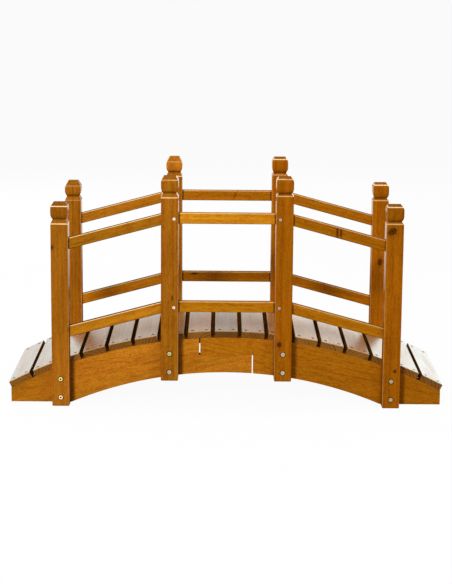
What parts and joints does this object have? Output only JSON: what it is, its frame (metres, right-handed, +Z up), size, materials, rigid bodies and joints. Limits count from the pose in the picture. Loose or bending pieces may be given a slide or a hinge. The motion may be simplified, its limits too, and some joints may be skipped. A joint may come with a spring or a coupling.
{
  "type": "moon bridge",
  "caption": "Small arched timber garden bridge: arched beams with stepped laps, plank deck, carved square posts and barred side railings.",
  "frame": {"origin": "centre of the bridge at ground level, between its four feet", "axes": "+X along the span to the right in the picture, +Y away from the camera, +Z up"},
  "size_m": [1.3234, 0.54, 0.701],
  "materials": {
    "post_timber": "brown-stained softwood, satin varnish",
    "rail_timber": "honey-stained softwood, satin varnish",
    "beam_timber": "honey-stained softwood, satin varnish",
    "deck_timber": "brown-stained softwood, glossy varnish on the treads",
    "zinc_fixings": "yellow-passivated zinc plating"
  },
  "bodies": {
    "root": {"back_beam_left": "beam_timber", "back_beam_right": "beam_timber", "back_post_middle_left": "post_timber", "back_post_middle_right": "post_timber", "back_post_outer_left": "post_timber", "back_post_outer_right": "post_timber", "back_rail_lower_centre": "rail_timber", "back_rail_lower_left": "rail_timber", "back_rail_lower_right": "rail_timber", "back_rail_upper_centre": "rail_timber", "back_rail_upper_left": "rail_timber", "back_rail_upper_right": "rail_timber", "deck_board_01": "deck_timber", "deck_board_02": "deck_timber", "deck_board_03": "deck_timber", "deck_board_04": "deck_timber", "deck_board_05": "deck_timber", "deck_board_06": "deck_timber", "deck_board_07": "deck_timber", "deck_board_08": "deck_timber", "deck_board_09": "deck_timber", "deck_board_10": "deck_timber", "deck_board_11": "deck_timber", "deck_board_12": "deck_timber", "deck_board_13": "deck_timber", "deck_board_14": "deck_timber", "deck_board_15": "deck_timber", "deck_board_16": "deck_timber", "deck_board_17": "deck_timber", "front_beam_left": "beam_timber", "front_beam_right": "beam_timber", "front_post_middle_left": "post_timber", "front_post_middle_right": "post_timber", "front_post_outer_left": "post_timber", "front_post_outer_right": "post_timber", "front_rail_lower_centre": "rail_timber", "front_rail_lower_left": "rail_timber", "front_rail_lower_right": "rail_timber", "front_rail_upper_centre": "rail_timber", "front_rail_upper_left": "rail_timber", "front_rail_upper_right": "rail_timber"}
  },
  "joints": []
}
